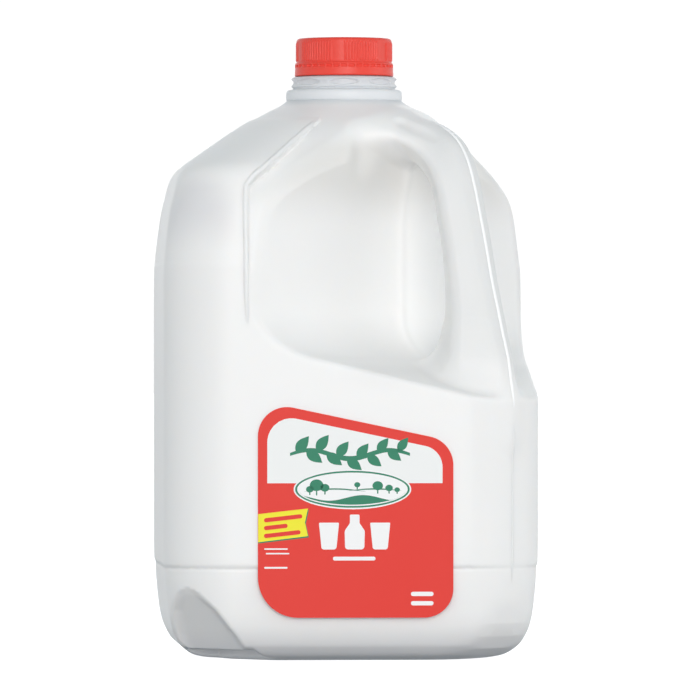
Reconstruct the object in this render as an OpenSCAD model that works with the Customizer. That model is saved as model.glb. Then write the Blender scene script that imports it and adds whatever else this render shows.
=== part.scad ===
// A one-gallon blow-moulded milk jug, filled and closed.
// Frame: +Z up, +X towards the handle, origin at the middle of the base.
// The body is a square column standing corner-on to X, so its four flat
// faces look along the diagonals and the handle fills the +X corner.
// The jug is symmetric about the XZ plane, its parting plane.

/* [Body] */
// Width across the flat faces
body_w = 150.4; // [124:0.2:182]
// Height of the jug up to the neck's collar
body_h = 224; // [186:1:270]
// Corner radius of the two side corners and the back corner
corner_r = 26.5; // [20:0.5:32]
// Corner radius of the corner below the handle
handle_corner_r = 34.5; // [30:0.5:42]
// Radius of the rounded edge round the base
base_edge_r = 19.5; // [16:0.5:23]
// Depth of the dished middle of the base
base_dish = 3; // [1:0.5:6]
// Rise of the sloping shoulder below the collar
shoulder_rise = 27.5; // [22:0.5:34]
// Height over which the walls draw in below the shoulder
taper_h = 48; // [38:1:58]
// Height of the mould joint line that runs round the body
joint_line_z = 37.5; // [30:0.5:50]
// Depth of that line
joint_line_depth = 0.5; // [0.3:0.1:0.8]

/* [Handle recess] */
// Distance from the collar's side to the recess wall, at the parting plane
wall_gap = 7.5; // [5:0.5:10]
// Angle by which each half of the recess wall falls back from that plane
wall_fall = 3.4; // [1:0.1:6]
// Height at which the recess's ledge would meet its wall
ledge_z = 120.5; // [100:0.5:145]
// Slope of the ledge, down and outwards
ledge_slope = 20; // [15:1:26]
// Radius of the corner between ledge and wall
ledge_r = 14; // [8:1:18]

/* [Handle] */
// Depth of the grip, from the palm side to the finger side
grip_depth = 23.6; // [19:0.2:29]
// Width of the grip
grip_w = 21.2; // [17:0.2:26]
// Distance by which the grip's outer line stands in from the corner below it
grip_inset = 13.5; // [11:0.5:16]
// Lean of the grip towards the neck
grip_lean = 13.7; // [11:0.1:15]

/* [Surface] */
// Distance between the recess's edge and the raised bead
bead_gap = 5.5; // [4:0.5:7]
// Radius of the bead
bead_r = 1.1; // [0.9:0.1:1.4]
// Height of the inset at the foot of each corner
inset_h = 31.5; // [26:0.5:36]
// Half width of the inset at the base
inset_half = 16.8; // [14:0.2:19]

/* [Neck] */
// Radius of the finish that the cap screws on
finish_r = 18; // [15:0.1:22]
// How far the ring below the cap stands out from the finish
ring_step = 3.3; // [2.6:0.1:4]
// Height of the ring and the groove under it
ring_h = 5; // [4.2:0.2:6]
// How far the collar stands out from the ring
collar_step = 2.2; // [1.6:0.1:2.8]
// Height of the collar at the foot of the neck
collar_h = 5.5; // [4.5:0.1:6.6]
// Number of oval windows round the ring
window_count = 8; // [4:1:10]

/* [Cap] */
// Height of the cap with its tear band
cap_h = 15.3; // [12.7:0.1:18.4]
// Wall of the cap
cap_wall = 1.1; // [0.8:0.1:1.6]
// Gap between cap and finish
cap_clearance = 0.2; // [0.15:0.05:0.4]
// Thickness of the cap's top
cap_top = 1.2; // [0.8:0.1:2]
// Radius of the cap's rounded top edge
cap_edge_r = 2; // [1:0.25:3]
// Height of the tear band with its flange
band_h = 5.7; // [4:0.1:7]
// How far the band stands out past the cap's side
band_step = 0.7; // [0.4:0.1:1]
// Groups of grip ribs round the cap
rib_groups = 6; // [4:1:8]
// Ribs in a group
ribs_in_group = 13; // [6:1:14]
// How far a rib stands out
rib_height = 0.35; // [0.2:0.05:0.5]
// Number of bridges that hold the tear band
bridge_count = 12; // [6:1:16]

/* [Label] */
// Distance between the label's side and the rounded side corner
label_left = 10; // [6:0.5:14]
// Distance between the label's side and the rounded corner below the handle
label_right = 2; // [0:0.5:6]
// Height of the label's lower edge above the base
label_z = 17.8; // [16:0.2:30]
// Distance by which the label's highest point lies below the ledge's height
label_gap = 19.4; // [17:0.2:26]
// Fall of the label's top edge
label_fall = 11.9; // [8:0.1:14]
// Thickness of the label
label_t = 0.4; // [0.3:0.1:0.8]

/* [Hidden] */

half_w = body_w / 2;
arc_steps = 10;
top_z = body_h + collar_h + ring_h + cap_h;
finish_top_z = top_z - cap_top;
cap_z = top_z - cap_h;
shoulder_z = body_h - shoulder_rise;
ring_r = finish_r + ring_step;
collar_r = ring_r + collar_step;
wall_x = collar_r + wall_gap;
corner_reach = (half_w - handle_corner_r) * sqrt(2) + handle_corner_r;
grip_reach = corner_reach - grip_inset;

// ---- outline of the body ----

// A quadratic curve from a to c that leaves and arrives along b.
function curve(a, b, c, t) = (1 - t) * (1 - t) * a + 2 * t * (1 - t) * b + t * t * c;

// One rounded corner of a level section, in direction dir.
function corner(h, r, dir) = [
    for (i = [0:arc_steps])
        let (a = dir - 45 + 90 * i / arc_steps)
            (h - r) * sqrt(2) * [cos(dir), sin(dir)] + r * [cos(a), sin(a)]
];

// A level section: half width h, rounded as much of the body as is left at h.
function section(h, z) =
    let (share = (h - collar_r) / (half_w - collar_r))
    let (side_r = collar_r + (corner_r - collar_r) * share)
    let (front_r = collar_r + (handle_corner_r - collar_r) * share)
    let (r_side = min(side_r, h), r_front = min(front_r, h))
    let (loop = concat(
        corner(h, r_front, 0), corner(h, r_side, 90),
        corner(h, r_side, 180), corner(h, r_side, 270)))
    [for (p = loop) [p[0], p[1], z]];

// Half width and height of each level, from the base up.
base_levels = [
    for (a = [0:15:75])
        [half_w - base_edge_r * (1 - sin(a)), base_edge_r * (1 - cos(a))]
];
joint_levels = [
    [half_w, base_edge_r],
    [half_w, joint_line_z - joint_line_depth],
    [half_w - joint_line_depth, joint_line_z],
    [half_w, joint_line_z + joint_line_depth]
];
bend_from = [half_w, shoulder_z - taper_h];
bend_to = [half_w - 0.3 * shoulder_rise, shoulder_z + 1];
bend_at = [half_w, shoulder_z - 7];
bend_levels = [for (t = [0:0.125:1]) curve(bend_from, bend_at, bend_to, t)];
neck_levels = [
    for (t = [0.25:0.25:1]) (1 - t) * bend_to + t * [collar_r + 0.6, body_h]
];
levels = concat(base_levels, joint_levels, bend_levels, neck_levels);

// A closed skin over a stack of loops that all have the same number of points.
module skin(loops) {
    n = len(loops[0]);
    m = len(loops);
    points = [for (l = loops) each l];
    sides = [
        for (j = [0:m - 2], i = [0:n - 1])
            let (k = (i + 1) % n, a = j * n, b = (j + 1) * n)
                each [[a + i, b + i, b + k], [a + i, b + k, a + k]]
    ];
    polyhedron(points, concat(
        [[for (i = [0:n - 1]) i]],
        sides,
        [[for (i = [n - 1:-1:0]) (m - 1) * n + i]]));
}

module body_column() {
    skin([for (l = levels) section(l[0], l[1])]);
}

// ---- neck ----

ring_z = body_h + collar_h;

module neck() {
    rotate_extrude($fn = 56)
        polygon([
            [0, body_h - 2],
            [collar_r + 0.3, body_h - 0.3],
            [collar_r, body_h + 1],
            [collar_r, ring_z - 1.2],
            [collar_r - 1.2, ring_z - 0.2],
            [ring_r - 0.8, ring_z + 0.2],
            [ring_r, ring_z + 0.9],
            [ring_r, cap_z - cap_clearance - 0.6],
            [ring_r - 0.8, cap_z - cap_clearance],
            [finish_r, cap_z - cap_clearance],
            [finish_r, finish_top_z],
            [0, finish_top_z]
        ]);
}

// Shallow oval window in the ring under the cap.
module ring_window() {
    size = (ring_h - 2) * 0.42;
    hull()
        for (a = [-10, 10])
            rotate(a)
                translate([ring_r + size * 0.4, 0, ring_z + ring_h / 2 + 0.05])
                    sphere(size, $fn = 12);
}

// ---- recess and handle ----

// The recess in side view: wall, rounded corner, ledge, and out past the body.
module recess_profile() {
    mid_x = wall_x + ledge_r;
    mid_z = ledge_z + ledge_r * (1 / cos(ledge_slope) - tan(ledge_slope));
    turn = 90 - ledge_slope;
    round_part = [
        for (i = [0:8])
            let (a = 180 + turn * i / 8)
                [mid_x + ledge_r * cos(a), mid_z + ledge_r * sin(a)]
    ];
    end = round_part[8];
    polygon(concat(
        [[wall_x, top_z + 10]],
        round_part,
        [[body_w, end[1] - (body_w - end[0]) * tan(ledge_slope)], [body_w, top_z + 10]]));
}

// One half of the recess, from the parting plane out past the body, falling back as it goes.
module recess_half(side) {
    multmatrix([
        [1, -side * tan(wall_fall), 0, 0],
        [0, 1, 0, 0],
        [0, 0, 1, 0],
        [0, 0, 0, 1]])
        translate([0, side > 0 ? body_w : 0.02, 0])
            rotate([90, 0, 0])
                linear_extrude(body_w + 0.02)
                    recess_profile();
}

// Height at a share t of the way up the grip, from the ledge to the arm at its top.
arm = shoulder_z + 1;
function up(t) = ledge_z + t * (arm - ledge_z);

// The grip's outer line, leaning towards the neck.
function palm(z) = grip_reach - (z - up(0.44)) * tan(grip_lean);

// Distance from the axis at a share t of the way out along the arm.
function along(t) = wall_x + t * (palm(arm) - wall_x);

// One station of the handle: palm point, finger point and half width.
function station(x, z, in_x, in_z, wide) = [x, z, in_x, in_z, grip_w / 2 * wide];
function upright(t, depth, drop, wide) =
    station(palm(up(t)), up(t), palm(up(t)) - grip_depth * depth, up(t) - drop, wide);

handle_stations = [
    station(corner_reach - 1.5, ledge_z - 30, corner_reach - 26, ledge_z - 24, 2.1),
    station(corner_reach - 0.5, ledge_z - 22, corner_reach - 40, ledge_z - 13, 1.9),
    station(corner_reach - 1, ledge_z - 12, wall_x + 11, ledge_z - 6, 1.6),
    station(palm(ledge_z) + 1, ledge_z, wall_x + 17, ledge_z + 2.5, 1.32),
    upright(0.117, 1.36, -1, 1.14),
    upright(0.234, 1.22, 0, 1.04),
    upright(0.39, 1.08, 0, 1),
    upright(0.57, 0.99, 0, 1),
    upright(0.69, 0.96, 1, 1),
    upright(0.83, 0.92, 2, 1.02),
    upright(0.95, 0.96, 4, 1.08),
    station(along(0.97), arm + 5, along(0.32), arm - 2.5, 1.16),
    station(along(0.79), arm + 13, along(0.23), arm - 0.5, 1.26),
    station(along(0.55), arm + 18, along(0.13), arm + 0.5, 1.42),
    station(along(0.26), arm + 21, along(0.03), arm + 1, 1.66),
    station(along(-0.14), arm + 22, along(-0.24), arm - 1, 2)
];

// A loop round the handle at a station, a little narrower on the finger side.
function grip_loop(s) = [
    for (a = [0:18:342])
        let (mid = [s[0] + s[2], s[1] + s[3]] / 2)
        let (half = [s[0] - s[2], s[1] - s[3]] / 2)
            [mid[0] + half[0] * cos(a),
             s[4] * sin(a) * (1 + 0.12 * cos(a)),
             mid[1] + half[1] * cos(a)]
];

module handle() {
    skin([for (s = handle_stations) grip_loop(s)]);
}

// ---- surface details ----

// The body's half width at a height between the joint line and the collar.
function half_at(z) = lookup(z, [for (l = concat([bend_from], bend_levels, neck_levels)) [l[1], l[0]]]);

// A point of the face that looks along -Y, a distance s from its middle, sunk by d.
function face_point(s, z, d) =
    let (h = half_at(z))
    let (r = collar_r + (corner_r - collar_r) * (h - collar_r) / (half_w - collar_r))
    let (past = max(0, s - (h - r)))
    let (a = asin(min(1, past / r)))
        [-s + d * sin(a), -(h - r) - r * cos(a) + d * cos(a), z];

// Distance of the recess's edge from the middle of the face.
recess_edge = (half_w * (1 + tan(wall_fall)) - wall_x * sqrt(2)) / (1 - tan(wall_fall));

// The thin raised bead: up the face, in along the shoulder, and round above the corner.
module bead(side) {
    across = bead_gap + recess_edge;
    low = shoulder_z - taper_h - 14;
    high = shoulder_z - 9;
    peak = body_h - 9;
    rise = [for (t = [0:0.2:1]) face_point(across, low + t * (high - low), 0.4)];
    slant = [
        for (t = [0.2:0.2:1])
            face_point(across * (1 - t) + 13 * t, high + t * (peak - high), 0.4)
    ];
    level = [for (s = [20, 27]) face_point(s, peak, 0.4)];
    path = concat(rise, slant, level);
    mirror([0, side > 0 ? 1 : 0, 0])
        rotate(45)
            for (i = [0:len(path) - 2])
                hull()
                    for (p = [path[i], path[i + 1]])
                        translate(p)
                            sphere(bead_r, $fn = 8);
}

// The inset at the foot of the corner that lies along -Y.
module corner_inset() {
    tip = (half_w - corner_r) * sqrt(2) + corner_r + 1;
    outline = [[0, 1], [0.42, 0.84], [0.72, 0.64], [0.92, 0.34], [1, 0.12], [1, -0.1]];
    right = [for (p = outline) [p[0] * inset_half, p[1] * inset_h]];
    left = [for (i = [len(right) - 1:-1:1]) [-right[i][0], right[i][1]]];
    edge = concat(right, left);
    skin([
        [for (p = edge) [p[0], -tip - 20, p[1]]],
        [for (p = edge) [p[0], -tip + (inset_h - p[1]) * 0.58, p[1]]]
    ]);
}

module base_dish() {
    translate([0, 0, -1])
        cylinder(r1 = half_w * 0.62 + 2, r2 = half_w * 0.4, h = base_dish + 1, $fn = 44);
}

module jug() {
    color("whitesmoke")
        difference() {
            union() {
                difference() {
                    body_column();
                    for (side = [-1, 1]) recess_half(side);
                }
                handle();
                neck();
                for (side = [-1, 1]) bead(side);
            }
            base_dish();
            for (turn = [0, 180, 270]) rotate(turn) corner_inset();
            for (i = [0:window_count - 1])
                rotate(360 / window_count * (i + 0.5) + 41.5 - 90)
                    ring_window();
        }
}

// ---- cap ----

cap_r = finish_r + cap_clearance + cap_wall;
band_r = cap_r + band_step;
slit_z = cap_z + band_h - 1.9;
slit_h = 0.3;

module cap_shell() {
    inner_r = cap_r - cap_wall;
    rotate_extrude($fn = 96)
        difference() {
            union() {
                translate([0, cap_z]) square([cap_r, cap_h - cap_edge_r]);
                square_top = cap_r - cap_edge_r;
                translate([0, cap_z]) square([square_top, cap_h]);
                translate([square_top, top_z - cap_edge_r]) circle(cap_edge_r, $fn = 48);
                translate([0, cap_z]) square([band_r, band_h]);
            }
            translate([-1, cap_z - 1]) square([inner_r + 1, cap_h - cap_top + 1]);
            translate([inner_r, slit_z]) square([band_r, slit_h]);
        }
}

module cap_ribs() {
    pitch = 360 / rib_groups * 0.73 / (ribs_in_group - 1);
    rib_z = cap_z + band_h - 0.2;
    rib_l = cap_h - band_h - cap_edge_r + 0.6;
    for (g = [0:rib_groups - 1], i = [0:ribs_in_group - 1])
        rotate(41.5 - 90 + g * 360 / rib_groups + i * pitch)
            translate([cap_r - cap_wall / 2, -0.3, rib_z])
                cube([cap_wall / 2 + rib_height, 0.6, rib_l]);
}

module cap_bridges() {
    for (i = [0:bridge_count - 1])
        rotate(i * 360 / bridge_count)
            translate([cap_r - cap_wall * 0.8, -0.5, slit_z - 0.2])
                cube([cap_wall * 0.8 + band_step / 2, 1, slit_h + 0.4]);
}

module cap() {
    color("tomato")
        union() {
            cap_shell();
            cap_ribs();
            cap_bridges();
        }
}

// ---- label ----

// Outline of the label, laid flat, with the middle of its face at the origin.
module label_outline() {
    left = corner_r - half_w + label_left;
    right = half_w - handle_corner_r - label_right;
    top = ledge_z - label_gap;
    low_left_r = 16;
    low_right_r = 11.5;
    high_r = 11.5;
    drop = (right - left - 2 * high_r) * tan(label_fall);
    hull() {
        translate([left + low_left_r, label_z + low_left_r]) circle(low_left_r, $fn = 64);
        translate([right - low_right_r, label_z + low_right_r]) circle(low_right_r, $fn = 64);
        translate([left + high_r, top - high_r]) circle(high_r, $fn = 64);
        translate([right - high_r, top - high_r - drop]) circle(high_r, $fn = 64);
    }
}

module label() {
    color("tomato")
        rotate(45)
            translate([0, -half_w, 0])
                rotate([90, 0, 0])
                    linear_extrude(label_t)
                        label_outline();
}

jug();
label();
cap();
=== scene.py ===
# A one-gallon milk jug: its looks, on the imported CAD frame.
# Units are metres for Blender objects; the jug's shape is worked out in millimetres.
import math

import bpy
import numpy as np
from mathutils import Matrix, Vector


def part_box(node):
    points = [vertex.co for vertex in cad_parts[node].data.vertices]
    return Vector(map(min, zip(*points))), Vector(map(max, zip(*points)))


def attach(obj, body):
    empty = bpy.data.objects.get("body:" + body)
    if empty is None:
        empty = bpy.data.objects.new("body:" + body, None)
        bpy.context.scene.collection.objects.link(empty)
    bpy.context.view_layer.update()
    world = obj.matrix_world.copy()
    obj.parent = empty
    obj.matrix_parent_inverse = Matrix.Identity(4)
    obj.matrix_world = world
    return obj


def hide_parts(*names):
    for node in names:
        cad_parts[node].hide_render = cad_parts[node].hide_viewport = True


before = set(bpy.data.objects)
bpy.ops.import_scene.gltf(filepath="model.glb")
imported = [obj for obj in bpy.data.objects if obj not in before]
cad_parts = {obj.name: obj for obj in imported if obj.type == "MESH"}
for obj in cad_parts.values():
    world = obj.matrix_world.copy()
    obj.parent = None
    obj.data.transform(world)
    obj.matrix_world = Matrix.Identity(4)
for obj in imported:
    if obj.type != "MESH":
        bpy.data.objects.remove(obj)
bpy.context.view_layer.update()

import openvdb
from mathutils import Vector
from mathutils.geometry import tessellate_polygon

MM = 0.001

# ---- sizes shared with the CAD, in millimetres ----

jug_low, jug_high = (np.array(v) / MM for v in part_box("jug"))
cap_low, cap_high = (np.array(v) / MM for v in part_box("cap"))
label_high = np.array(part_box("label")[1]) / MM

SIDE_R = 26.5                     # radius of the side and back corners
FRONT_R = 34.5                    # radius of the corner below the handle
HALF_W = (jug_high[1] + SIDE_R * (math.sqrt(2) - 1)) / math.sqrt(2)
CAP_Z = cap_low[2]                # lower edge of the cap
NECK_H = 10.5                     # collar, groove and ring
BODY_H = CAP_Z - NECK_H           # where the collar starts
COLLAR_R = 23.5
RING_R = 21.3                     # the ring under the cap
FINISH_R = 18.0                   # the finish, which goes up into the cap
WALL_X = 31.0                     # recess wall, at the parting plane
WALL_FALL = math.tan(math.radians(3.4))      # how fast each half of the wall falls back from there
LEDGE_Z = 124.2                   # where the recess's ledge would meet its wall
LEDGE_SLOPE = math.radians(18.8)
LEDGE_R = 14.0                    # corner between ledge and wall
JOINT_LINE_Z = 37.5               # the mould's joint line round the body
DISH_DEPTH = 3.0                  # hollow in the middle of the base
DISH_R = 50.0

VIEW_TURN = math.radians(41.5)    # the camera's turn round the jug
TOWARDS_VIEW = np.array([math.sin(VIEW_TURN), -math.cos(VIEW_TURN), 0.0])
VIEW_RIGHT = np.array([math.cos(VIEW_TURN), math.sin(VIEW_TURN), 0.0])


# ---- small tools ----

def mesh_object(name, points, faces, material, smooth=True):
    """A mesh object from points in millimetres, riding on the jug."""
    mesh = bpy.data.meshes.new(name)
    mesh.from_pydata([tuple(p) for p in np.asarray(points) * MM], [], [tuple(f) for f in faces])
    mesh.materials.append(material)
    mesh.polygons.foreach_set("use_smooth", [smooth] * len(mesh.polygons))
    mesh.update()
    piece = bpy.data.objects.new(name, mesh)
    bpy.context.scene.collection.objects.link(piece)
    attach(piece, "root")
    return piece


def step_up(x, low, high):
    """Rises smoothly from 0 at low to 1 at high."""
    t = np.clip((x - low) / (high - low), 0, 1)
    return t * t * (3 - 2 * t)


def round_max(a, b, r):
    """Intersection of two solids' distances, with the edge rounded to radius r."""
    inside = np.minimum(np.maximum(a, b), -r)
    return inside + np.hypot(np.maximum(a + r, 0), np.maximum(b + r, 0))


def round_min(a, b, r):
    """Union of two solids' distances, with a fillet of radius r."""
    return -round_max(-a, -b, r)


def spline(rows, steps):
    """A Catmull-Rom curve through rows of numbers."""
    rows = np.array(rows, float)
    ends = np.vstack([2 * rows[0] - rows[1], rows, 2 * rows[-1] - rows[-2]])
    t = np.linspace(0, 1, steps, endpoint=False)[:, None]
    out = []
    for p0, p1, p2, p3 in zip(ends, ends[1:], ends[2:], ends[3:]):
        out.append(0.5 * (2 * p1 + (p2 - p0) * t + (2 * p0 - 5 * p1 + 4 * p2 - p3) * t ** 2
                          + (3 * p1 - p0 - 3 * p2 + p3) * t ** 3))
    return np.vstack(out + [rows[-1:]])


# ---- the jug's shape, as a distance that is negative inside ----

# Height, and half width across the flats there: foot, straight wall, taper, shoulder, foot of the neck.
OUTLINE = spline([
    (-2, HALF_W - 25), (-0.5, HALF_W - 19.5), (0.7, HALF_W - 14.8), (2.4, HALF_W - 11), (4.8, HALF_W - 7.8),
    (7.2, HALF_W - 5.7), (12.1, HALF_W - 3.3), (17, HALF_W - 2), (22, HALF_W - 1.3), (28, HALF_W - 0.7),
    (34, HALF_W - 0.3), (42, HALF_W - 0.05), (52, HALF_W), (80, HALF_W), (148, HALF_W),
    (160, HALF_W - 0.4), (172, HALF_W - 1.7), (180, HALF_W - 2.9), (186, HALF_W - 4.3),
    (191, HALF_W - 5.5), (194.5, HALF_W - 7), (197.3, HALF_W - 9.2), (200, HALF_W - 12.5),
    (203.5, HALF_W - 17.4), (208, HALF_W - 23.8), (214, HALF_W - 32.7), (219, HALF_W - 41.4),
    (222.5, HALF_W - 48.1), (BODY_H + 1, COLLAR_R + 0.2)], 6)

# Height, and how far the strip round the recess lies in from the raised panel beside it.
LAND_DROP = spline([(138, 0), (150, 0.3), (165, 0.8), (180, 0.9), (186, 1.7), (191, 4), (196, 6), (200, 5.8),
                    (204, 4.6), (209, 3), (214, 1.9), (219, 1.3), (226, 1.2)], 5)

# The handle, from its root below the ledge up and over to the neck:
# palm side x and z, finger side x and z, half width.
HANDLE = spline([
    (90.6, 90, 58, 90, 12), (90.5, 101, 53, 101, 12.5), (89.9, 111, 50, 111, 13),
    (88.5, 119.5, 49.5, 119.5, 13.2), (86.7, 127, 51, 127, 12.6), (84.9, 133, 53, 133, 12),
    (83, 139, 54.4, 139, 11.2), (79.8, 150.5, 54.8, 150.5, 10.7), (76.6, 164.5, 53.6, 164.5, 10.5),
    (73.6, 177, 51.3, 176, 10.5), (71, 187, 49.6, 185.5, 10.6), (68, 196.5, 46.4, 193, 10.9),
    (63.8, 204, 42.6, 197.3, 11.3), (57, 210, 39, 199.6, 12.2), (49, 214.3, 35.4, 200.6, 14),
    (40, 217.4, 31.5, 201, 17), (28, 219, 25, 200, 21)], 5)


def side_distance(x, y, z):
    """The upright column with its rounded corners, the taper and the shoulder."""
    a = np.abs(x - y) / math.sqrt(2)
    b = np.abs(x + y) / math.sqrt(2)
    h = np.interp(z, OUTLINE[:, 0], OUTLINE[:, 1])
    slope = np.interp(z, OUTLINE[:, 0], np.gradient(OUTLINE[:, 1], OUTLINE[:, 0]))
    share = (h - COLLAR_R) / (HALF_W - COLLAR_R)
    front = (x > y) & (x > -y)
    r = COLLAR_R + np.where(front, FRONT_R - COLLAR_R, SIDE_R - COLLAR_R) * share
    r = np.minimum(r, h)
    past_a, past_b = a - (h - r), b - (h - r)
    flat = np.minimum(np.maximum(past_a, past_b), 0)
    distance = np.hypot(np.maximum(past_a, 0), np.maximum(past_b, 0)) + flat - r
    return (distance + lowered_land(x, y, z)) / np.sqrt(1 + slope ** 2)


LAND_EDGE_Z, LAND_EDGE = (189, 215.5), (-43.4, -13.0)      # where the raised panel ends, along the front face
CONE_Z = (215.6, 217.2)                                   # the shallow step to the cone under the neck
CONE_DROP = 1.15


def lowered_land(x, y, z):
    """How far the strip round the recess, the far shoulder and the cone above lie in from the rest."""
    along = (x - np.abs(y)) / math.sqrt(2)
    edge = np.interp(z, LAND_EDGE_Z, LAND_EDGE)
    depth = np.interp(z, LAND_DROP[:, 0], LAND_DROP[:, 1])
    near = step_up(along, edge, edge + 1 + depth * 0.45)
    half = np.interp(z, OUTLINE[:, 0], OUTLINE[:, 1])
    far = np.where(y > 0, step_up((x + y) / math.sqrt(2) / half, 0.05, 0.75), 0)
    strip = np.maximum(near, far)
    return np.maximum(depth * strip, CONE_DROP * step_up(z, *CONE_Z))


# The inset at the foot of a corner: half its width at each height, and the slope of its floor.
INSET_Z, INSET_HALF_W = (-2, 4.3, 10.8, 20.6, 27.5, 31.5), (18.6, 18.1, 16.8, 13.0, 7.8, -1.0)
INSET_TOP, INSET_SLOPE = 32, 0.74
NOTCH_H, NOTCH_HALF_W, NOTCH_DEPTH = 4.8, 18.2, 40        # the notch below it, in the base's edge


def corner_inset(outward, along, z):
    """The arch cut in at the foot of a corner, as a solid to take away."""
    half = np.interp(z, INSET_Z, INSET_HALF_W)
    tip = (HALF_W - SIDE_R) * math.sqrt(2) + SIDE_R
    floor = tip + 0.9 - INSET_SLOPE * (INSET_TOP - z)
    arch = round_max((floor - outward) * 0.87, (np.abs(along) - half) * 0.8, 5)
    sides = np.maximum(tip - NOTCH_DEPTH - outward, np.abs(along) - NOTCH_HALF_W)
    return np.minimum(arch, np.maximum(sides, z - NOTCH_H))


# The flat facet at the foot of the front corner: its distance from the axis at each height.
FACET_Z, FACET_X = (0, 1.5, 5, 10, 15, 25, 34, 45), (69.5, 73.5, 79.3, 83.6, 86, 88.6, 90.2, 92)


def body_distance(x, y, z):
    """The column with its joint line, its base, the facet at the foot of the front corner and the insets."""
    solid = side_distance(x, y, z)
    below_line = step_up(JOINT_LINE_Z - z, -0.7, 0.7)
    line = np.exp(-((z - JOINT_LINE_Z) / 0.8) ** 2)
    solid = solid + 0.45 * below_line + 0.3 * line
    solid = round_max(solid, x - (jug_high[0] - 1.9), 5)
    solid = round_max(solid, -z, 2.5)
    solid = round_max(solid, (x - np.interp(z, FACET_Z, FACET_X)) * 0.8, 1.2)
    for outward, along in ((-y, x), (y, x), (-x, y)):
        solid = round_max(solid, -corner_inset(outward, along, z), 1.6)
    dish = DISH_DEPTH * step_up(DISH_R - np.hypot(x, y), 0, 12)
    return np.maximum(solid, dish - z)


def recess_distance(x, y, z):
    """The hand recess: a wall, a ledge that slopes down and out, and a rounded corner between."""
    wall = WALL_X - np.abs(y) * WALL_FALL - x
    parting_ridge = 1.1 * np.exp(-(y / 3.0) ** 2) - 0.8
    lean = 8 * step_up(z, 170, 220)
    flute = 3 * np.exp(-((np.abs(y) - 27) / 5.5) ** 2) * step_up(z, 188, 206)
    wall = wall + parting_ridge + lean - flute
    ledge = (LEDGE_Z - (x - WALL_X) * math.tan(LEDGE_SLOPE) - z) * math.cos(LEDGE_SLOPE)
    return round_max(wall, ledge, LEDGE_R)


def handle_distance(x, y, z):
    """The handle: kite-shaped sections with rounded corners, along a curve in the parting plane."""
    palm, finger, half = HANDLE[:, 0:2], HANDLE[:, 2:4], HANDLE[:, 4]
    middle = (palm + finger) / 2
    depth = np.hypot(*(palm - finger).T) / 2
    x, z = np.broadcast_arrays(x, z)
    best = np.full(x.shape, 1e9, np.float32)
    offset = np.zeros_like(best)
    deep = np.ones_like(best)
    wide = np.ones_like(best)
    for i in range(len(middle) - 1):
        run = middle[i + 1] - middle[i]
        px, pz = x - middle[i, 0], z - middle[i, 1]
        t = np.clip((px * run[0] + pz * run[1]) / (run @ run), 0, 1)
        gap_x, gap_z = px - t * run[0], pz - t * run[1]
        gap = np.hypot(gap_x, gap_z)
        near = gap < best
        best = np.where(near, gap, best)
        outwards = (px * run[1] - pz * run[0]) > 0
        offset = np.where(near, np.where(outwards, gap, -gap), offset)
        deep = np.where(near, depth[i] + t * (depth[i + 1] - depth[i]), deep)
        wide = np.where(near, half[i] + t * (half[i + 1] - half[i]), wide)
    crease = 0.12 * deep
    soft = 5.0
    side = np.sqrt(y ** 2 + soft ** 2) - soft * 0.72
    reach = deep + 1.6
    finger_run = reach + crease
    palm_run = reach - crease
    finger_side = (side * finger_run - (offset + reach) * wide) / np.hypot(finger_run, wide)
    palm_side = (side * palm_run + (offset - reach) * wide) / np.hypot(palm_run, wide)
    kite = round_max(finger_side, palm_side, 3.5)
    return round_max(kite, np.abs(offset) - deep, 3)


DENT_START, DENT_END = np.array([42.0, 11.5, 217.5]), np.array([57.0, 11.0, 211.0])
DENT_R = 4.3


def arm_dent(x, y, z):
    """The long dent on each side of the handle's arm, where it meets the shoulder."""
    run = DENT_END - DENT_START
    px, py, pz = x - DENT_START[0], np.abs(y) - DENT_START[1], z - DENT_START[2]
    t = np.clip((px * run[0] + py * run[1] + pz * run[2]) / (run @ run), 0, 1)
    gap = (px - t * run[0]) ** 2 + (py - t * run[1]) ** 2 + (pz - t * run[2]) ** 2
    return np.sqrt(gap) - DENT_R


def jug_distance(x, y, z):
    """The whole jug up to the neck: the body, less the recess, with the handle blended in."""
    recess_edge_r = 1.8 + 0.3 * step_up(z, 128, 150) + 5.2 * step_up(z, 176, 200)
    body = round_max(body_distance(x, y, z), -recess_distance(x, y, z), recess_edge_r)
    root_r = 7 + 4 * step_up(150 - z, 0, 20) * step_up(z, 104, 122) - 3 * step_up(112 - z, 0, 12)
    solid = round_min(body, handle_distance(x, y, z), root_r)
    solid = round_max(solid, -arm_dent(x, y, z), 1.2)
    return np.maximum(solid, z - (BODY_H + 0.6))


# ---- from distance to mesh ----

VOXEL = 1.0
JUG_TRIANGLES = 190000


def slope_of(distance, points, reach=0.15):
    """The distance at each point, and its gradient."""
    x, y, z = points.T
    value = distance(x, y, z)
    gradient = np.stack([
        distance(x + reach, y, z) - distance(x - reach, y, z),
        distance(x, y + reach, z) - distance(x, y - reach, z),
        distance(x, y, z + reach) - distance(x, y, z - reach)], 1) / (2 * reach)
    return value, gradient


def settle(distance, points, rounds):
    """Moves points on to the surface, and gives the surface's normals there."""
    for _ in range(rounds):
        value, gradient = slope_of(distance, points)
        size = np.maximum((gradient ** 2).sum(1), 0.05)
        move = np.clip(value / size, -1.0, 1.0)
        points = points - move[:, None] * gradient
    _, gradient = slope_of(distance, points)
    normals = gradient / np.maximum(np.linalg.norm(gradient, axis=1), 1e-6)[:, None]
    return points, normals


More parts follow.
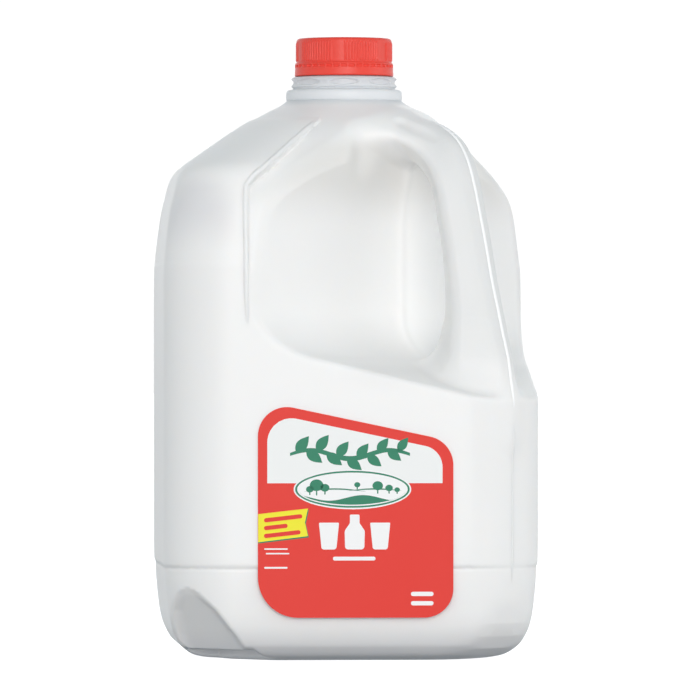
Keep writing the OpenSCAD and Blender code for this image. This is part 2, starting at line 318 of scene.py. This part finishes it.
def surface_mesh(distance, low, high, voxel):
    """Points and quads of the surface inside a box."""
    axes = [np.arange(lo - 2 * voxel, hi + 3 * voxel, voxel, dtype=np.float32) for lo, hi in zip(low, high)]
    x, y, z = axes[0][:, None, None], axes[1][None, :, None], axes[2][None, None, :]
    field = np.clip(distance(x, y, z), -3 * voxel, 3 * voxel).astype(np.float32)
    grid = openvdb.FloatGrid(3 * voxel)
    grid.copyFromArray(field)
    points, quads = grid.convertToQuads()
    start = np.array([a[0] for a in axes])
    return points * voxel + start, quads


def build_jug(material):
    """The jug's skin in one piece: meshed, thinned out, then moved back on to the exact surface."""
    voxel = VOXEL
    low, high = jug_low.copy(), jug_high.copy()
    high[2] = BODY_H + 1
    points, quads = surface_mesh(jug_distance, low, high, voxel)
    piece = mesh_object("jug_body", points, quads, material)
    thin = piece.modifiers.new("thin", "DECIMATE")
    thin.ratio = JUG_TRIANGLES / (2 * len(quads))
    bpy.context.view_layer.update()
    done = bpy.data.meshes.new_from_object(piece.evaluated_get(bpy.context.evaluated_depsgraph_get()))
    piece.modifiers.clear()
    piece.data = done
    mesh = piece.data
    points = np.empty(len(mesh.vertices) * 3)
    mesh.vertices.foreach_get("co", points)
    points, normals = settle(jug_distance, points.reshape(-1, 3) / MM, 3)
    points = np.clip(points, jug_low, jug_high)
    mesh.vertices.foreach_set("co", (points * MM).ravel())
    mesh.polygons.foreach_set("use_smooth", [True] * len(mesh.polygons))
    mesh.update()
    mesh.normals_split_custom_set_from_vertices(normals.tolist())
    return piece


# ---- turned pieces ----

def lathe(name, profile, push, material, turns=480):
    """A closed turned piece. push moves each point in or out, by its angle and its place."""
    profile = np.array(profile, float)
    angle = np.linspace(0, 2 * math.pi, turns, endpoint=False)[:, None]
    r, z = profile[None, :, 0], profile[None, :, 1]
    r = np.maximum(r + push(angle, r, z), 0)
    z = np.broadcast_to(z, r.shape)
    points = np.stack([r * np.cos(angle), r * np.sin(angle), z], 2).reshape(-1, 3)
    rows = len(profile)
    faces = []
    for i in range(turns):
        here, there = i * rows, (i + 1) % turns * rows
        faces += [(here + j, there + j, there + j + 1, here + j + 1) for j in range(rows - 1)]
    first, last = len(points), len(points) + 1
    points = np.vstack([points, [[0, 0, profile[0, 1]], [0, 0, profile[-1, 1]]]])
    for i in range(turns):
        here, there = i * rows, (i + 1) % turns * rows
        faces.append((there, here, first))
        faces.append((here + rows - 1, there + rows - 1, last))
    return mesh_object(name, points, faces, material)


def fine(rows, step):
    """The same line with points at most a step apart."""
    rows = np.array(rows, float)
    out = [rows[:1]]
    for a, b in zip(rows, rows[1:]):
        n = max(1, math.ceil(np.linalg.norm(b - a) / step))
        out.append(a + (b - a) * np.linspace(0, 1, n + 1)[1:, None])
    return np.vstack(out)


def turn_from_view(angle):
    """The angle round the axis from the side that faces the camera, between -180 and 180 degrees."""
    turned = np.degrees(angle) - (math.degrees(VIEW_TURN) - 90)
    return (turned + 180) % 360 - 180


def build_neck(material):
    """The collar, the groove, the ring with its shallow ovals, and the finish inside the cap."""
    z = BODY_H
    bulge = spline([(22.2, z - 2.5), (22.9, z - 0.7), (23.3, z + 0.5), (23.5, z + 1.6), (23.5, z + 3),
                    (23.3, z + 4.1), (22.7, z + 4.8), (21.3, z + 5.1), (20.5, z + 5.4), (20.9, z + 5.8),
                    (21.25, z + 6.2), (21.3, z + 7), (21.3, z + 8.8), (21.15, z + 9.5), (20.6, z + 10),
                    (19.4, z + 10.3), (18.1, z + 10.5), (FINISH_R, z + 11.5)], 4)
    bottom = [(12, z - 2.5)]
    top = [(FINISH_R, jug_high[2] - 1), (FINISH_R - 1, jug_high[2] - 0.1), (12, jug_high[2] - 0.1)]
    profile = np.vstack([bottom, fine(bulge, 0.25), top])

    def dimples(angle, r, height):
        pitch = 45
        turned = (turn_from_view(angle) + pitch / 2) % pitch - pitch / 2
        across = np.radians(turned) * RING_R
        oval = np.hypot(across / 6.2, (height - (z + 7.9)) / 1.35)
        rim = np.exp(-((oval - 1.05) / 0.2) ** 2)
        return np.where(r > 21, 0.12 * rim - 0.8 * step_up(oval, 1.1, 0.75), 0)

    return lathe("neck", profile, dimples, material)


def build_cap(material):
    """The screw cap's shell: the tear band, the slit above it, and groups of ribs up the side."""
    low, high = CAP_Z, cap_high[2]
    ledge, line = low + 5.4, low + 4.0                   # top of the band, and the slit in it
    side_r, band_r, round_r = 19.25, 19.87, 1.3
    inside = [(18.25, high - 1.3), (18.25, low + 0.4), (18.6, low + 0.05)]
    outside = [(19.8, low), (19.98, low + 0.25), (19.98, low + 1), (19.88, low + 2.2)]
    outside += [(band_r, line + up) for up in (-0.6, -0.4, -0.2, 0, 0.2, 0.4, 0.6)]
    outside += [(19.85, ledge - 0.5), (19.7, ledge - 0.15), (19.35, ledge + 0.05), (19.26, ledge + 0.4),
                (side_r, high - 1.4)]
    for a in np.radians(np.arange(5, 91, 7)):
        outside.append((side_r - round_r + round_r * math.cos(a), high - 0.02 - round_r + round_r * math.sin(a)))
    top = [(16, high - 0.08), (15.6, high - 0.25), (2, high - 0.25)]
    profile = np.vstack([inside, fine(outside, 0.4), top])
    groups, ribs, share = 6, 13, 0.73                    # share: how much of a group's turn its ribs take
    bridge_pitch = 9

    def grip(angle, r, height):
        turned = turn_from_view(angle) % (360 / groups) / (360 / groups * share) * (ribs - 1)
        one = np.abs((turned + 0.5) % 1 - 0.5)
        on = step_up(0.5 - np.abs(turned - (ribs - 1) / 2) + (ribs - 1) / 2, -0.1, 0.1)
        rib = step_up(one, 0.42, 0.16) * on
        rows = step_up(height, ledge + 0.4, ledge + 0.9) * step_up(high - height, 1.1, 2.4)
        dash = (turn_from_view(angle) + bridge_pitch / 2) % bridge_pitch - bridge_pitch / 2
        cut = step_up(3.6 - np.abs(dash), -0.2, 0.4) * step_up(0.42 - np.abs(height - line), -0.12, 0.1)
        return np.where(r > 18.4, 0.3 * rib * rows - 0.55 * cut, 0)

    return lathe("cap_shell", profile, grip, material, turns=1080)


def ridge(name, path, material, half_width, height, fade):
    """A low rounded line that lies on the jug's surface along a path, and fades over a few points at each end."""
    path, normals = settle(jug_distance, np.array(path, float), 8)
    run = np.gradient(path, axis=0)
    across = np.cross(normals, run)
    across /= np.linalg.norm(across, axis=1)[:, None]
    place = np.arange(len(path))
    strength = np.clip(np.minimum(place, place[::-1]) / fade, 0, 1)
    turns = np.linspace(-1, 1, 9)
    lift = height * np.cos(turns * math.pi / 2) - 0.25 * np.abs(turns) ** 4
    points = []
    for p, side, up, share in zip(path, across, normals, strength):
        for t, h in zip(turns, lift):
            points.append(p + side * t * half_width + up * (h * share - 0.2 * (1 - share)))
    n = len(turns)
    faces = [(i * n + j, i * n + n + j, i * n + n + j + 1, i * n + j + 1)
             for i in range(len(path) - 1) for j in range(n - 1)]
    return mesh_object(name, np.clip(points, jug_low, jug_high), faces, material)


def build_ridges(material, seam):
    """The mould's parting line on both corners, and the bead beside the raised panel on each side."""
    palm = [(x, 0, z) for x, z in HANDLE[::-1, 0:2] if 96 < z < 216]
    front = palm[-3:] + [(92, 0, z) for z in np.arange(94, 24, -2.0)]
    ridge("seam_handle", palm, seam, half_width=0.9, height=0.4, fade=6)
    ridge("seam_front", front, material, half_width=0.8, height=0.3, fade=6)
    heights = np.arange(34, 221, 1.5)
    flat = np.interp(heights, OUTLINE[:, 0], OUTLINE[:, 1])
    turn_r = COLLAR_R + (SIDE_R - COLLAR_R) * (flat - COLLAR_R) / (HALF_W - COLLAR_R)
    tip = flat * math.sqrt(2) - turn_r * (math.sqrt(2) - 1)
    back = [(-x, 0, z) for x, z in zip(tip, heights)]
    ridge("seam_back", back, material, half_width=0.8, height=0.3, fade=6)
    bend = spline([(-42.6, 126), (-43.2, 150), (-43.6, 176), (-43.2, 187), (-41, 192), (-35, 197.4),
                   (-24, 207), (-16.5, 213.4), (-14.2, 216)], 8)
    out = np.interp(bend[:, 1], OUTLINE[:, 0], OUTLINE[:, 1])
    sunk = out - np.interp(bend[:, 1], LAND_DROP[:, 0], LAND_DROP[:, 1])
    for name, face, side in (("bead", out, -1), ("bead_far", sunk, 1)):
        path = [((o + s) / math.sqrt(2), side * (o - s) / math.sqrt(2), z) for o, (s, z) in zip(face, bend)]
        ridge(name, path, material, half_width=1.15, height=0.55, fade=10)


# ---- the label's print, in the label's own plane: s to the right, z up, in millimetres ----

LABEL_HALF_W = 38.7
FACE = label_high[0] * math.sqrt(2) - LABEL_HALF_W      # the label's outer face, from the axis
OVAL = (-1.3, 68.6)                                     # middle of the oval


def on_face(s, z, lift):
    """A place on the label's face, lifted off it, in the jug's own axes."""
    out = FACE + lift
    return ((out + s) / math.sqrt(2), (s - out) / math.sqrt(2), z)


def rounded(corners, radii, steps=10):
    """An outline with its corners rounded."""
    out = []
    count = len(corners)
    for i, r in enumerate(radii):
        before, corner, after = (np.array(corners[j % count], float) for j in (i - 1, i, i + 1))
        if r == 0:
            out.append(tuple(corner))
            continue
        u = (before - corner) / np.linalg.norm(before - corner)
        v = (after - corner) / np.linalg.norm(after - corner)
        half = math.acos(np.clip(u @ v, -1, 1)) / 2
        centre = corner + (u + v) / np.linalg.norm(u + v) * r / math.sin(half)
        a, b = corner + u * r / math.tan(half) - centre, corner + v * r / math.tan(half) - centre
        for t in np.linspace(0, 1, steps):
            way = a * (1 - t) + b * t
            out.append(tuple(centre + way / np.linalg.norm(way) * r))
    return out


def ellipse(s, z, half_s, half_z, steps=64):
    turns = np.linspace(0, 2 * math.pi, steps, endpoint=False)
    return [(s + half_s * math.cos(t), z + half_z * math.sin(t)) for t in turns]


def bar(s0, z0, s1, z1, thick):
    """A stroke with rounded ends."""
    run = np.array([s1 - s0, z1 - z0])
    side = np.array([-run[1], run[0]]) / np.linalg.norm(run) * thick / 2
    a, b = np.array([s0, z0]), np.array([s1, z1])
    return rounded([a + side, a - side, b - side, b + side], [thick * 0.45] * 4, 5)


def leaf(s, z, length, turn):
    """A pointed leaf from (s, z), turned up from the level."""
    t = np.linspace(0, 1, 14)
    width = 0.27 * length * np.sin(math.pi * t ** 0.8)
    places = list(zip(t, width)) + list(zip(t[-2:0:-1], -width[-2:0:-1]))
    c, d = math.cos(turn), math.sin(turn)
    return [(s + length * u * c - w * d, z + length * u * d + w * c) for u, w in places]


def print_piece(name, shapes, material):
    """Flat raised shapes on the label. Each shape is (outline, lift)."""
    points, faces = [], []
    for outline, lift in shapes:
        n, start = len(outline), len(points)
        area = sum(a[0] * b[1] - b[0] * a[1] for a, b in zip(outline, outline[1:] + outline[:1]))
        if area < 0:
            outline = outline[::-1]
        points += [on_face(s, z, lift) for s, z in outline] + [on_face(s, z, -0.05) for s, z in outline]
        for a, b, c in tessellate_polygon([[Vector((s, z, 0)) for s, z in outline]]):
            turn = np.cross(np.subtract(outline[b], outline[a]), np.subtract(outline[c], outline[a]))
            front = (a, b, c) if turn > 0 else (a, c, b)
            faces.append(tuple(start + i for i in front))
            faces.append(tuple(start + n + i for i in front[::-1]))
        for i in range(n):
            j = (i + 1) % n
            faces.append((start + i, start + n + i, start + n + j, start + j))
    return mesh_object(name, points, faces, material, smooth=False)


def window_outline():
    """The pale window at the label's top, whose upper edge falls to the right."""
    fall = math.tan(math.radians(11.9))
    left, right, bottom, top_left = -35.0, 34.4, 71.0, 98.9
    top_right = top_left - (right - left) * fall
    return rounded([(left, bottom), (right, bottom), (right, top_right), (left, top_left)], [0, 0, 8.5, 9.5])


def between(s, upper, lower):
    """The outline between two lines over the same places s."""
    return list(zip(s, upper)) + list(zip(s[::-1], lower[::-1]))


def sprig():
    """A leafy wave, drawn where the photograph has a name."""
    left, right = -26.0, 21.5
    s = np.linspace(left, right, 60)
    share = (s - left) / (right - left)
    z = 82.4 + 1.7 * np.sin(share * 2 * math.pi * 1.5)
    thick = 0.6 + 0.4 * np.sin(share * math.pi)
    out = [(between(s, z + thick, z - thick), 0.06)]
    for i in range(11):
        k = 3 + i * 5
        turn = math.radians(52 if i % 2 == 0 else -38)
        out.append((leaf(s[k], z[k], 8.2 - 0.15 * i, turn), 0.055 + 0.0005 * i))
    return out


def hills():
    """Rolling fields and round trees inside the oval."""
    cs, cz = OVAL
    hs, hz = 21.4, 6.1
    out = []
    t = np.linspace(-0.98, 0.98, 60)
    floor = cz - hz * np.sqrt(1 - t ** 2)
    near = np.maximum(floor + 0.05, cz - 3.4 + 1.1 * np.sin(t * 5 + 0.6))
    out.append((between(cs + hs * t, floor, near), 0.12))
    for start, end, base, swell in ((-0.9, 0.25, -0.9, 1.3), (-0.1, 0.92, -0.6, 1.0)):
        u = np.linspace(start, end, 40)
        v = (u - start) / (end - start)
        upper = cz + base + swell * np.sin(math.pi * v)
        lower = upper - 0.55 * np.sin(math.pi * v) - 0.02
        out.append((between(cs + hs * u, upper, lower), 0.125))
    trees = [(-15.5, 70.2, 2.7), (-12.2, 69.2, 1.8), (-18.2, 68.6, 1.5), (8.7, 70.0, 2.1), (13.2, 69.1, 1.5),
             (0.6, 70.4, 1.2), (16.4, 68.4, 1.1)]
    for s, z, r in trees:
        out.append((ellipse(s, z, r, r * 0.86, 20), 0.13))
        out.append((bar(s, z - r * 0.7, s, z - r * 1.5, 0.5), 0.128))
    return out


def bottle_and_glasses():
    """A bottle between two glasses, drawn where the photograph has a word."""
    foot, lift = 44.8, 0.04
    bottle = rounded([(-4.2, foot), (3.4, foot), (3.6, 52.2), (1.5, 55.2), (1.5, 58.6), (-2.3, 58.6), (-2.3, 55.2),
                      (-4.4, 52.2)], [1.3, 1.3, 2, 1.5, 0.5, 0.5, 1.5, 2], 6)
    out = [(bottle, lift)]
    for s in (-10.6, 9.7):
        corners = [(s - 2.9, foot), (s + 2.9, foot), (s + 4.0, 55.4), (s - 4.0, 55.4)]
        out.append((rounded(corners, [1, 1, 0.4, 0.4], 5), lift))
    return out


def bars(lift, *rows):
    return [(bar(*row), lift) for row in rows]


def build_label_print(film):
    """Fields of colour and simple shapes, each a little above the one below it."""
    rim, gap, field = ((*OVAL, 23.3, 7.9), (*OVAL, 22.7, 7.3), (*OVAL, 21.9, 6.6))
    strokes = bars(0.04, (-9.0, 41.2, 7.8, 41.2, 1.5), (21.9, 27.2, 30.8, 27.2, 1.7),
                   (21.9, 23.5, 30.8, 23.5, 1.7), (-36.2, 45.0, -26.9, 45.0, 0.55),
                   (-35.6, 43.2, -26.3, 43.2, 0.55), (-36.2, 37.6, -27.0, 37.6, 0.7))
    flag = [(-38.6, 58.8), (-18.9, 61.0), (-20.1, 55.5), (-18.9, 50.1), (-38.6, 47.7)]
    shadow = [(s + 0.35 if s > -38 else s, z - 0.5) for s, z in flag]
    white = [(ellipse(*rim), 0.05), (ellipse(*field), 0.1)] + bottle_and_glasses() + strokes
    print_piece("label_window", [(window_outline(), 0.03)], film["pale"])
    print_piece("label_white", white, film["white"])
    print_piece("label_green", [(ellipse(*gap), 0.075)] + sprig() + hills(), film["green"])
    print_piece("label_flag_shadow", [(shadow, 0.03)], film["green"])
    print_piece("label_flag", [(flag, 0.05)], film["yellow"])
    print_piece("label_flag_bars", bars(0.07, (-36.3, 56.3, -21.2, 58.0, 1.7), (-36.3, 53.2, -27.0, 54.25, 1.7),
                                        (-36.3, 50.1, -21.9, 51.7, 1.7)), film["red"])


# ---- materials ----

# Places whose colour is multiplied darker. The empty neck is greyer than milk under plastic; the handle, the ring
# under the cap, the top of the recess, the foot and the bend of the shoulder get painted shade.
# Each has its bounds, as (axis, where it starts, where it is full) in metres, and its tint.
TINTS_AND_PAINTED_SHADE = [
    # Painted shade on the handle, darker than the rest of the jug.
    ([("X", 0.046, 0.060), ("Z", 0.104, 0.126)], (0.875, 0.885, 0.89)),                  # handle
    ([("Z", 0.2215, 0.2245)], (0.81, 0.835, 0.865)),                                     # neck
    # Painted shadow on the ring, where the cap shades it.
    ([("Z", 0.2295, 0.2325)], (0.88, 0.86, 0.87)),                                       # ring
    # Painted shade at the top of the recess, in the hollow below the handle's root.
    ([("X", 0.022, 0.032), ("X", 0.041, 0.033), ("Z", 0.172, 0.194), ("Z", 0.211, 0.203)],
     (0.875, 0.87, 0.855)),                                                              # top of the recess
    # Painted shade at the foot, darker towards the base.
    ([("Z", 0.015, 0.003)], (0.90, 0.905, 0.925)),                                       # foot
    # Painted shade at the bend of the shoulder.
    ([("Z", 0.160, 0.180), ("Z", 0.200, 0.188), ("Y", -0.0825, -0.0905)],
     (0.88, 0.88, 0.90)),                                                                # bend of the shoulder
]

# The far half of the recess's wall, given painted light: it glows a little, though it is no lamp, to be brighter
# than the lights alone make it.
PAINTED_LIGHT_PLACE = [("Y", -0.004, 0.003), ("Y", 0.060, 0.035), ("X", 0.022, 0.032), ("X", 0.046, 0.040),
            ("Z", 0.118, 0.135)]
PAINTED_LIGHT_STRENGTH = 0.07


def shader(name, colour, rough, noise_scale, colour_shift, rough_shift, bump, bump_mm, **sockets):
    """A Principled material with mottled colour, uneven roughness and a faint relief."""
    material = bpy.data.materials.new(name)
    material.use_nodes = True
    nodes, links = material.node_tree.nodes, material.node_tree.links
    principled = nodes["Principled BSDF"]
    place = nodes.new("ShaderNodeTexCoord")
    noise = nodes.new("ShaderNodeTexNoise")
    noise.inputs["Scale"].default_value = noise_scale
    noise.inputs["Detail"].default_value = 4
    links.new(place.outputs["Object"], noise.inputs["Vector"])
    tone = nodes.new("ShaderNodeMix")
    tone.data_type = "RGBA"
    tone.inputs["A"].default_value = (*[c * (1 - colour_shift) for c in colour], 1)
    tone.inputs["B"].default_value = (*[min(c * (1 + colour_shift), 1) for c in colour], 1)
    links.new(noise.outputs["Fac"], tone.inputs["Factor"])
    links.new(tone.outputs["Result"], principled.inputs["Base Color"])
    spread = nodes.new("ShaderNodeMapRange")
    spread.inputs["To Min"].default_value = rough - rough_shift
    spread.inputs["To Max"].default_value = rough + rough_shift
    links.new(noise.outputs["Fac"], spread.inputs["Value"])
    links.new(spread.outputs["Result"], principled.inputs["Roughness"])
    grain = nodes.new("ShaderNodeTexNoise")
    grain.inputs["Scale"].default_value = 1000 / bump_mm
    grain.inputs["Detail"].default_value = 2
    links.new(place.outputs["Object"], grain.inputs["Vector"])
    relief = nodes.new("ShaderNodeBump")
    relief.inputs["Strength"].default_value = bump
    relief.inputs["Distance"].default_value = 0.0003
    links.new(grain.outputs["Fac"], relief.inputs["Height"])
    links.new(relief.outputs["Normal"], principled.inputs["Normal"])
    for socket, value in sockets.items():
        principled.inputs[socket.replace("_", " ")].default_value = value
    return material


def span(nodes, links, value, low, high):
    """A node output that rises from 0 to 1 as the value goes from low to high."""
    rise = nodes.new("ShaderNodeMapRange")
    rise.interpolation_type = "SMOOTHSTEP"
    rise.inputs["From Min"].default_value = low
    rise.inputs["From Max"].default_value = high
    links.new(value, rise.inputs["Value"])
    return rise.outputs["Result"]


def place_mask(nodes, links, split, bounds):
    """A node output that is 1 inside all the bounds and falls off smoothly to 0."""
    mask = None
    for axis, low, high in bounds:
        one = span(nodes, links, split.outputs[axis], low, high)
        if mask is not None:
            both = nodes.new("ShaderNodeMath")
            both.operation = "MULTIPLY"
            links.new(mask, both.inputs[0])
            links.new(one, both.inputs[1])
            one = both.outputs["Value"]
        mask = one
    return mask


def jug_plastic():
    """Milky plastic, white where milk is behind it, greyer on the empty neck, with painted shade and painted light
    by place.
    """
    material = shader("jug_plastic", (0.925, 0.918, 0.906), rough=0.42, noise_scale=18, colour_shift=0.012,
                      rough_shift=0.05, bump=0.10, bump_mm=9,
                      Subsurface_Weight=0.35, Subsurface_Radius=(1.0, 0.9, 0.8), Subsurface_Scale=0.004)
    nodes, links = material.node_tree.nodes, material.node_tree.links
    principled = nodes["Principled BSDF"]
    place = nodes.new("ShaderNodeTexCoord")
    split = nodes.new("ShaderNodeSeparateXYZ")
    links.new(place.outputs["Object"], split.inputs["Vector"])
    # Painted light: a faint glow on the far half of the recess's wall.
    painted_light = nodes.new("ShaderNodeMath")
    painted_light.operation = "MULTIPLY"
    painted_light.inputs[1].default_value = PAINTED_LIGHT_STRENGTH
    links.new(place_mask(nodes, links, split, PAINTED_LIGHT_PLACE), painted_light.inputs[0])
    principled.inputs["Emission Color"].default_value = (1, 0.99, 0.98, 1)
    links.new(painted_light.outputs["Value"], principled.inputs["Emission Strength"])
    colour = principled.inputs["Base Color"].links[0].from_socket
    # Multiplies in the neck's tint and the painted shade of each place.
    for bounds, darkening in TINTS_AND_PAINTED_SHADE:
        mix = nodes.new("ShaderNodeMix")
        mix.data_type = "RGBA"
        mix.blend_type = "MULTIPLY"
        mix.inputs["B"].default_value = (*darkening, 1)
        links.new(place_mask(nodes, links, split, bounds), mix.inputs["Factor"])
        links.new(colour, mix.inputs["A"])
        colour = mix.outputs["Result"]
    links.new(colour, principled.inputs["Base Color"])
    return material


def seam_plastic():
    """The parting line on the handle, whiter than the rest of the jug."""
    return shader("seam_plastic", (1.0, 1.0, 1.0), rough=0.35, noise_scale=18, colour_shift=0.005,
                  rough_shift=0.03, bump=0.05, bump_mm=9)


def cap_plastic():
    """Satin red, which lets a little light in."""
    return shader("cap_plastic", (0.845, 0.065, 0.043), rough=0.36, noise_scale=60, colour_shift=0.04,
                  rough_shift=0.05, bump=0.08, bump_mm=2, Specular_IOR_Level=0.35,
                  Subsurface_Weight=0.15, Subsurface_Radius=(1.0, 0.3, 0.2), Subsurface_Scale=0.001)


def label_films():
    """The label's film in each of its printed colours."""
    colours = {"red": (0.765, 0.030, 0.018), "pale": (0.86, 0.87, 0.86), "white": (0.90, 0.90, 0.90),
               "green": (0.016, 0.21, 0.115), "yellow": (0.88, 0.80, 0.02)}
    return {name: shader("label_" + name, colour, rough=0.4, noise_scale=40, colour_shift=0.015,
                         rough_shift=0.04, bump=0.05, bump_mm=6, Specular_IOR_Level=0.25)
            for name, colour in colours.items()}


# ---- the studio ----

FLOOR_R = 30
BACKDROP = 1.05                   # how bright the plain white behind the jug is

LENS, SENSOR = 406.5, 36          # millimetres
CAMERA_BACK, CAMERA_UP = 3.2, 0.1174
AIM = Vector((0.0018, 0.0016, 0.1238))
JUG_MIDDLE = (0, 0, 0.12)

# The room's colour by height, from straight down (0) to straight up (1). The ends come first.
ROOM = [(0.0, (0.07, 0.08, 0.09)), (1.0, (0.30, 0.34, 0.36)), (0.28, (0.21, 0.235, 0.26)),
        (0.46, (1.09, 1.13, 1.15)), (0.56, (1.09, 1.13, 1.15)), (0.75, (0.48, 0.525, 0.55))]


def build_floor():
    """A pale round floor, bright enough by itself to meet the white backdrop without an edge."""
    mesh = bpy.data.meshes.new("floor")
    steps = 96
    turns = [2 * math.pi * i / steps for i in range(steps)]
    points = [(FLOOR_R * math.cos(t), FLOOR_R * math.sin(t), 0) for t in turns]
    mesh.from_pydata(points, [], [tuple(range(steps))])
    floor = bpy.data.objects.new("floor", mesh)
    bpy.context.scene.collection.objects.link(floor)
    material = bpy.data.materials.new("floor")
    material.use_nodes = True
    principled = material.node_tree.nodes["Principled BSDF"]
    principled.inputs["Base Color"].default_value = (0.8, 0.8, 0.8, 1)
    principled.inputs["Roughness"].default_value = 0.9
    principled.inputs["Emission Color"].default_value = (1, 1, 1, 1)
    principled.inputs["Emission Strength"].default_value = 0.9
    mesh.materials.append(material)
    floor.visible_diffuse = False
    floor.visible_glossy = False


def build_world():
    """A pale room, brightest round the walls, darker above and below, and plain white to the camera."""
    world = bpy.data.worlds.new("room")
    bpy.context.scene.world = world
    world.use_nodes = True
    nodes, links = world.node_tree.nodes, world.node_tree.links
    way = nodes.new("ShaderNodeTexCoord")
    split = nodes.new("ShaderNodeSeparateXYZ")
    links.new(way.outputs["Generated"], split.inputs["Vector"])
    height = nodes.new("ShaderNodeMapRange")
    height.inputs["From Min"].default_value = -1
    links.new(split.outputs["Z"], height.inputs["Value"])
    ramp = nodes.new("ShaderNodeValToRGB")
    ramp.color_ramp.interpolation = "B_SPLINE"
    for i, (at, colour) in enumerate(ROOM):
        stop = ramp.color_ramp.elements[i] if i < 2 else ramp.color_ramp.elements.new(at)
        stop.position = at
        stop.color = (*colour, 1)
    links.new(height.outputs["Result"], ramp.inputs["Fac"])
    room = nodes["Background"]
    links.new(ramp.outputs["Color"], room.inputs["Color"])
    room.inputs["Strength"].default_value = 1.0
    white = nodes.new("ShaderNodeBackground")
    white.inputs["Color"].default_value = (1, 1, 1, 1)
    white.inputs["Strength"].default_value = BACKDROP
    path = nodes.new("ShaderNodeLightPath")
    mix = nodes.new("ShaderNodeMixShader")
    links.new(path.outputs["Is Camera Ray"], mix.inputs["Fac"])
    links.new(room.outputs["Background"], mix.inputs[1])
    links.new(white.outputs["Background"], mix.inputs[2])
    links.new(mix.outputs["Shader"], nodes["World Output"].inputs["Surface"])


def soft_light(name, towards, distance, size, watts, colour):
    """A square area light that looks at the jug. Towards is (right, up, nearer the camera)."""
    data = bpy.data.lights.new(name, "AREA")
    data.shape = "SQUARE"
    data.size = size
    data.energy = watts
    data.color = colour
    light = bpy.data.objects.new(name, data)
    right, up, nearer = towards
    way = Vector(VIEW_RIGHT) * right + Vector((0, 0, up)) + Vector(TOWARDS_VIEW) * nearer
    way.normalize()
    light.location = Vector(JUG_MIDDLE) + way * distance
    light.rotation_euler = (-way).to_track_quat("-Z", "Y").to_euler()
    bpy.context.scene.collection.objects.link(light)


def build_lights():
    soft_light("key", (0.10, 0.10, 1.0), distance=2.2, size=1.3, watts=24.0, colour=(1.0, 0.965, 0.945))
    soft_light("behind", (0.0, 0.35, -1.0), distance=2.2, size=1.5, watts=4, colour=(1.0, 1.0, 1.0))
    soft_light("right", (1.0, 0.05, 0.12), distance=1.8, size=1.2, watts=5.0, colour=(1.0, 0.985, 0.97))


def build_camera():
    data = bpy.data.cameras.new("camera")
    data.lens = LENS
    data.sensor_width = SENSOR
    data.clip_end = 100
    camera = bpy.data.objects.new("camera", data)
    bpy.context.scene.collection.objects.link(camera)
    camera.location = Vector(TOWARDS_VIEW) * CAMERA_BACK + Vector((0, 0, CAMERA_UP))
    camera.rotation_euler = (AIM - camera.location).to_track_quat("-Z", "Y").to_euler()
    bpy.context.scene.camera = camera
    bpy.context.scene.view_settings.view_transform = "Standard"


# ---- the whole scene ----

plastic = jug_plastic()
films = label_films()

body_piece = build_jug(plastic)
build_neck(plastic)
build_ridges(plastic, seam_plastic())
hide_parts("jug")
cap_piece = build_cap(cap_plastic())
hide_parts("cap")

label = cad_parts["label"]
label.data.materials.clear()
label.data.materials.append(films["red"])
build_label_print(films)

build_floor()
build_world()
build_lights()
build_camera()
